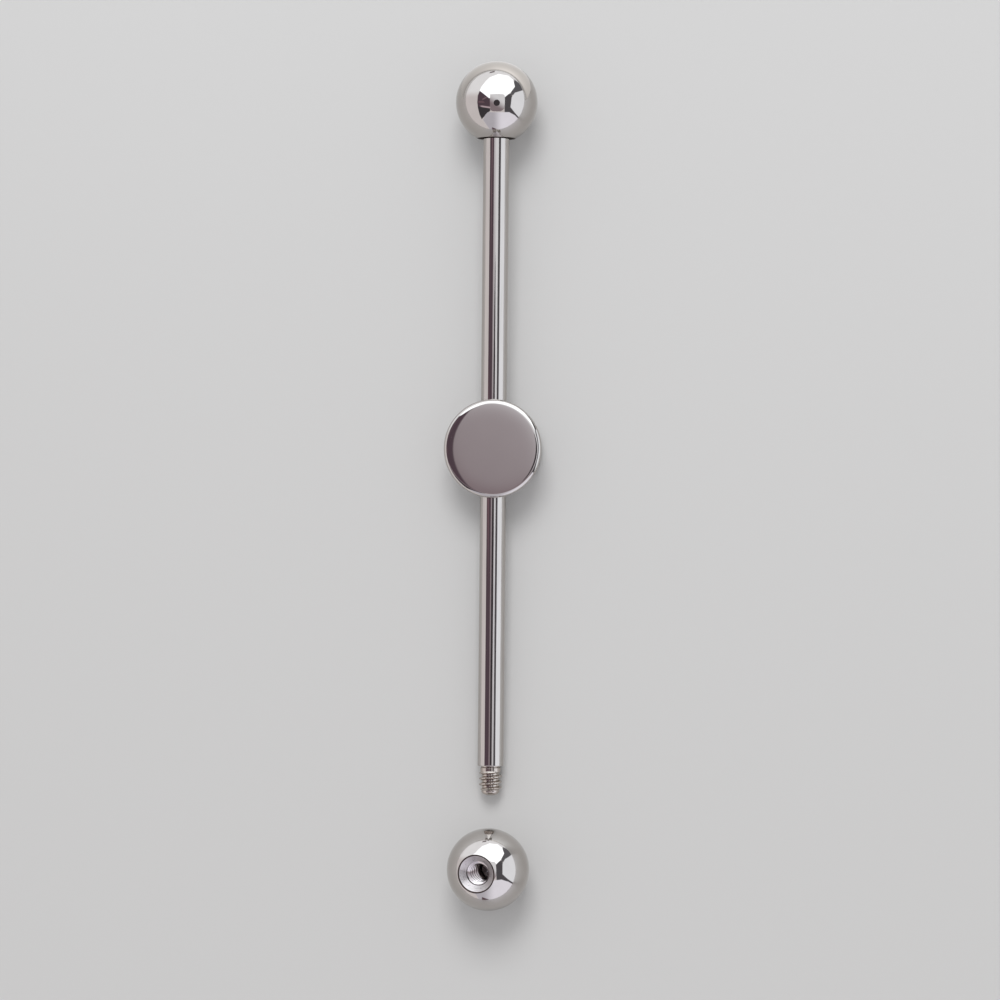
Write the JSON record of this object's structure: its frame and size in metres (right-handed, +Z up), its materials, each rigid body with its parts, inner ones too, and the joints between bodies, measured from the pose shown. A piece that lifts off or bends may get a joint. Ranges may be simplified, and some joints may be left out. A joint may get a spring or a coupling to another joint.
{
  "type": "industrial barbell",
  "caption": "Straight body-jewellery bar with a round disc at its middle, a ball screwed on one threaded end, and the other end bare with its countersunk ball lying loose beside it.",
  "frame": {"origin": "on the surface, under the middle of the box round the whole barbell and its loose ball", "axes": "+Z up from the surface, +Y along the barbell towards the screwed ball, +X to the right of the picture"},
  "size_m": [0.006, 0.0518, 0.005],
  "materials": {
    "bar_steel": "mirror polished",
    "ball_steel": "mirror polished"
  },
  "bodies": {
    "root": {"bar_with_disc": "bar_steel", "screwed_ball": "ball_steel", "loose_ball": "ball_steel"}
  },
  "joints": []
}
